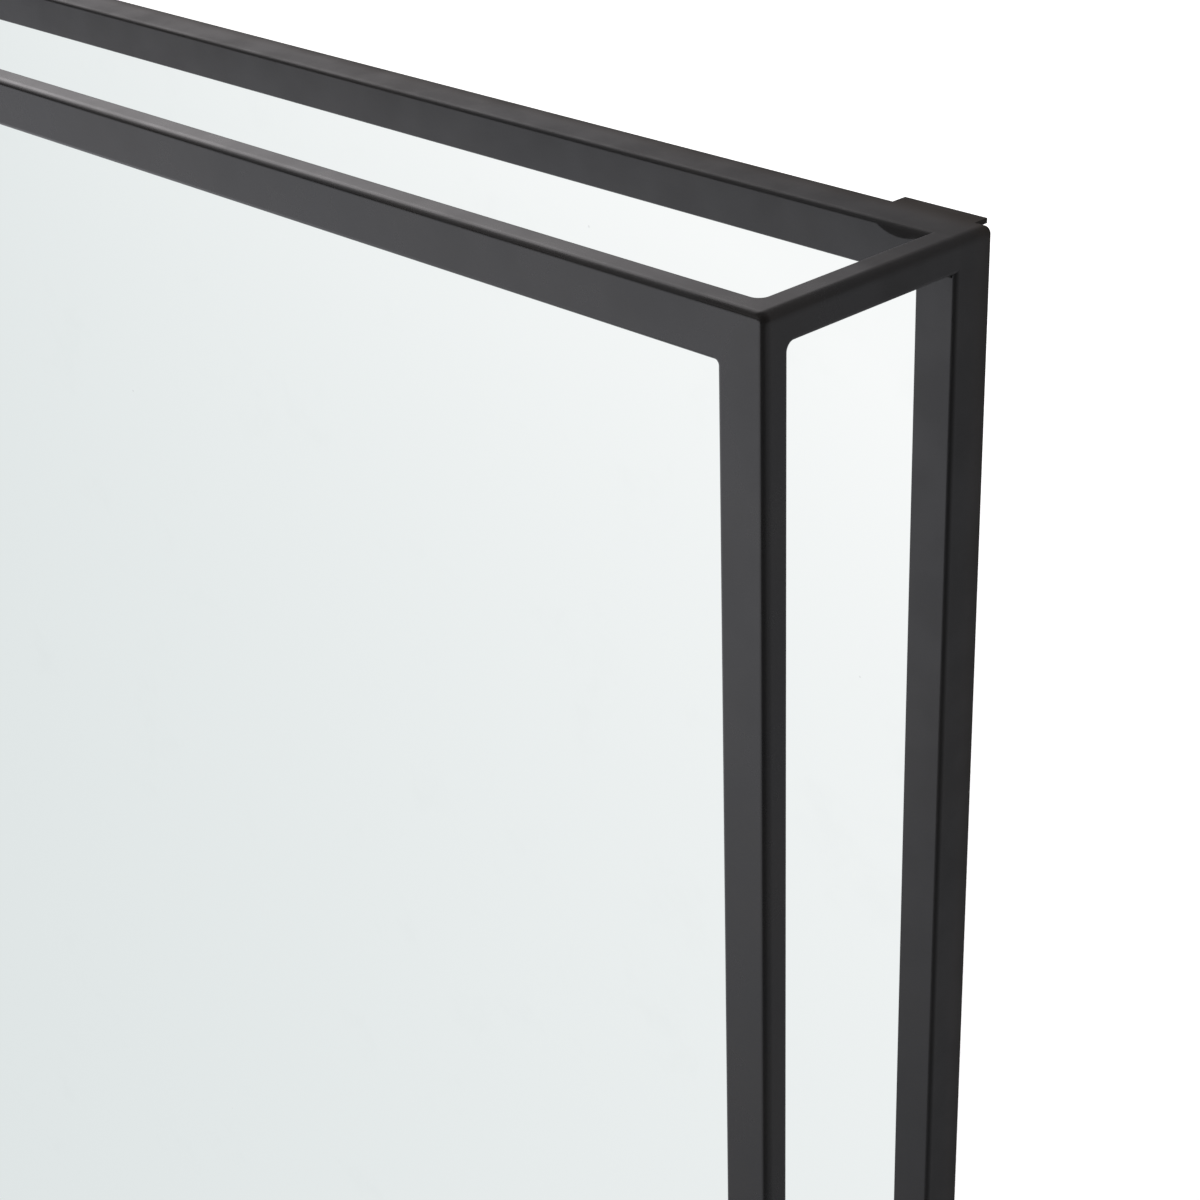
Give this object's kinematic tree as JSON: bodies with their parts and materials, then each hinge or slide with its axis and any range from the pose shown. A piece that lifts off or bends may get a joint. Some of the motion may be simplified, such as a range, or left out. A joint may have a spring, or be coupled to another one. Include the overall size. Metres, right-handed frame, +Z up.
{
  "type": "wall mirror in an open box frame",
  "caption": "Flat mirror set in the back of an open box frame of black steel bars, held by swivel clips and hung on a wall by keyhole brackets.",
  "frame": {"origin": "midway between the two upper keyholes' round ends, on the wall plane", "axes": "+X to the right seen from the front, +Y from the front towards the wall, +Z up"},
  "size_m": [0.813, 0.0985, 1.016],
  "materials": {
    "black_steel": "satin black",
    "mirror": "polished silvered glass",
    "hardboard": "pressed brown hardboard",
    "foam_tape": "black foam",
    "rubber": "matt black",
    "zinc_plate": "bright zinc plate",
    "nylon": "natural nylon"
  },
  "bodies": {
    "frame": {"front_top_rail": "black_steel", "front_right_stile": "black_steel", "front_bottom_rail": "black_steel", "front_left_stile": "black_steel", "back_top_rail": "black_steel", "back_right_stile": "black_steel", "back_bottom_rail": "black_steel", "back_left_stile": "black_steel", "top_left_spacer": "black_steel", "top_right_spacer": "black_steel", "bottom_left_spacer": "black_steel", "bottom_right_spacer": "black_steel", "front_corner_welds": "black_steel", "spacer_front_welds": "black_steel", "spacer_back_welds": "black_steel", "top_left_hanger": "black_steel", "top_right_hanger": "black_steel", "bottom_right_hanger": "black_steel", "bottom_left_hanger": "black_steel", "top_glazing_tape": "foam_tape", "right_glazing_tape": "foam_tape", "bottom_glazing_tape": "foam_tape", "left_glazing_tape": "foam_tape", "left_setting_block": "rubber", "right_setting_block": "rubber", "clip_studs": "zinc_plate", "clip_nuts": "zinc_plate", "clip_sleeves": "nylon", "mirror_pane": "mirror", "backing_board": "hardboard"},
    "top_left_clip": {"top_left_clip": "zinc_plate"},
    "top_right_clip": {"top_right_clip": "zinc_plate"},
    "right_upper_clip": {"right_upper_clip": "zinc_plate"},
    "right_lower_clip": {"right_lower_clip": "zinc_plate"},
    "bottom_right_clip": {"bottom_right_clip": "zinc_plate"},
    "bottom_left_clip": {"bottom_left_clip": "zinc_plate"},
    "left_lower_clip": {"left_lower_clip": "zinc_plate"},
    "left_upper_clip": {"left_upper_clip": "zinc_plate"}
  },
  "joints": [
    {"name": "top_left_clip_turn", "type": "hinge", "parent": "frame", "child": "top_left_clip", "pos_m": [-0.2, -0.011, 0.0165], "axis": [0, 1, 0], "range_deg": [-90, 90]},
    {"name": "top_right_clip_turn", "type": "hinge", "parent": "frame", "child": "top_right_clip", "pos_m": [0.2, -0.011, 0.0165], "axis": [0, 1, 0], "range_deg": [-90, 90]},
    {"name": "right_upper_clip_turn", "type": "hinge", "parent": "frame", "child": "right_upper_clip", "pos_m": [0.401, -0.011, -0.226], "axis": [0, 1, 0], "range_deg": [-90, 90]},
    {"name": "right_lower_clip_turn", "type": "hinge", "parent": "frame", "child": "right_lower_clip", "pos_m": [0.401, -0.011, -0.746], "axis": [0, 1, 0], "range_deg": [-90, 90]},
    {"name": "bottom_right_clip_turn", "type": "hinge", "parent": "frame", "child": "bottom_right_clip", "pos_m": [0.2, -0.011, -0.9885], "axis": [0, 1, 0], "range_deg": [-90, 90]},
    {"name": "bottom_left_clip_turn", "type": "hinge", "parent": "frame", "child": "bottom_left_clip", "pos_m": [-0.2, -0.011, -0.9885], "axis": [0, 1, 0], "range_deg": [-90, 90]},
    {"name": "left_lower_clip_turn", "type": "hinge", "parent": "frame", "child": "left_lower_clip", "pos_m": [-0.401, -0.011, -0.746], "axis": [0, 1, 0], "range_deg": [-90, 90]},
    {"name": "left_upper_clip_turn", "type": "hinge", "parent": "frame", "child": "left_upper_clip", "pos_m": [-0.401, -0.011, -0.226], "axis": [0, 1, 0], "range_deg": [-90, 90]}
  ]
}
